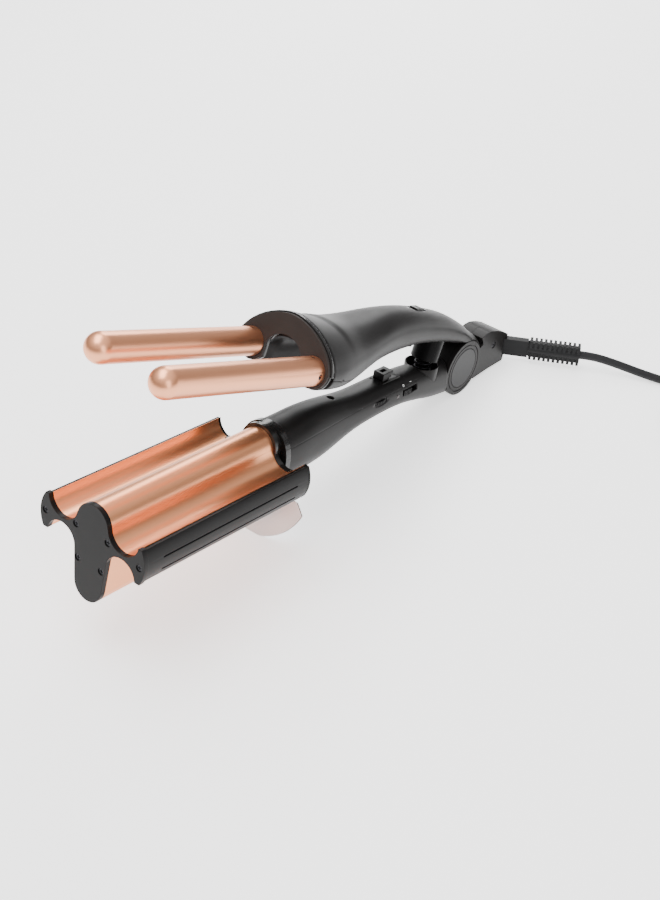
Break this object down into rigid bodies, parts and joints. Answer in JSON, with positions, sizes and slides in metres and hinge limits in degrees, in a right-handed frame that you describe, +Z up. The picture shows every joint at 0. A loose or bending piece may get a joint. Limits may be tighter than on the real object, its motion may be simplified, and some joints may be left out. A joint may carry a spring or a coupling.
{
  "type": "hair crimper",
  "caption": "Hair crimper of the deep-waving kind: round heated barrels on a sprung upper arm close into the troughs of a wide hollow waving jaw; folding stand and mains lead.",
  "frame": {"origin": "centre of the bounding box of the tool without its cord, on the surface it stands on", "axes": "+X from the waving jaw to the cord end, +Z up with the tool standing on its folding stand, -Y the side with the power switch"},
  "size_m": [0.4372, 0.2608, 0.1599],
  "materials": {
    "copper": "satin, rose-gold coloured ceramic coat",
    "barrel": "satin, rose-gold coloured ceramic coat",
    "charcoal": "fine matte",
    "charcoal_light": "fine matte",
    "trim": "fine matte",
    "face": "matte, brown-grey",
    "gloss": "polished",
    "disc": "satin grey",
    "steel": "satin",
    "polished": "polished",
    "dark_screw": "black",
    "spring_steel": "black",
    "raw_aluminium": "mill finish",
    "ceramic": "pale insulating ceramic",
    "board": "green laminate",
    "lamp": "clear red",
    "rubber": "matte",
    "lead": "matte",
    "plug_metal": "nickel-plated"
  },
  "bodies": {
    "lower_handle": {"lower_jaw": "copper", "front_end_cap": "trim", "rear_wing_caps": "trim", "near_side_rail": "trim", "far_side_rail": "trim", "jaw_end_screws": "dark_screw", "jaw_heater": "ceramic", "heater_spreader": "raw_aluminium", "jaw_collar": "gloss", "lower_shell": "charcoal", "lower_cover": "charcoal", "near_hub_cheek": "charcoal_light", "far_hub_cheek": "charcoal_light", "near_hub_disc": "disc", "far_hub_disc": "disc", "pivot_pin": "steel", "pivot_washers": "steel", "return_spring": "spring_steel", "lower_screws": "steel", "tail_screw": "dark_screw", "switch_body": "trim", "dial_body": "trim", "status_lamp": "lamp", "control_board": "board", "cord_clamp": "trim", "stand_pin": "steel", "stand_bracket": "steel", "boot_pin": "steel"},
    "upper_handle": {"upper_shell": "charcoal", "upper_cover": "charcoal", "face_plate": "face", "head_bead": "gloss", "near_barrel": "barrel", "far_barrel": "barrel", "barrel_mounts": "ceramic", "barrel_screws": "dark_screw", "near_heater": "ceramic", "far_heater": "ceramic", "spring_cup": "gloss", "upper_screws": "steel"},
    "stand": {"stand_plate": "polished"},
    "lock": {"lock_slider": "trim"},
    "power_knob": {"power_switch": "trim"},
    "dial": {"temperature_wheel": "trim"},
    "mode_knob": {"mode_switch": "gloss"},
    "swivel_cord": {"cord_boot": "rubber", "mains_cord": "lead", "cord_coil": "lead", "plug_lead": "lead", "plug_body": "rubber", "plug_pins": "plug_metal"}
  },
  "joints": [
    {"name": "jaw_hinge", "type": "hinge", "parent": "lower_handle", "child": "upper_handle", "pos_m": [0.12994, 0, 0.0185], "axis": [0, 1, 0], "range_deg": [-14, 0], "stiffness_Nm_per_rad": 1.6, "springref_deg": 22.92, "deforming": ["return_spring"]},
    {"name": "stand_fold", "type": "hinge", "parent": "lower_handle", "child": "stand", "pos_m": [-0.04834, 0, 0.02404], "axis": [0, 1, 0], "range_deg": [-105, 0]},
    {"name": "lock_slide", "type": "slide", "parent": "lower_handle", "child": "lock", "axis": [0.9881, 0, -0.1541], "range_m": [0, 0.0045]},
    {"name": "power_slide", "type": "slide", "parent": "lower_handle", "child": "power_knob", "axis": [0.9881, 0, -0.1541], "range_m": [0, 0.0065]},
    {"name": "dial_turn", "type": "hinge", "parent": "lower_handle", "child": "dial", "pos_m": [0.04006, -0.0022, 0.03925], "axis": [0.1541, 0, 0.9881], "range_deg": [-135, 135]},
    {"name": "mode_slide", "type": "slide", "parent": "upper_handle", "child": "mode_knob", "axis": [0.918, 0, -0.3966], "range_m": [0, 0.0035]},
    {"name": "cord_swivel", "type": "hinge", "parent": "lower_handle", "child": "swivel_cord", "pos_m": [0.17778, 0, 0.01053], "axis": [0, 0, 1], "range_deg": [0, 121]}
  ]
}
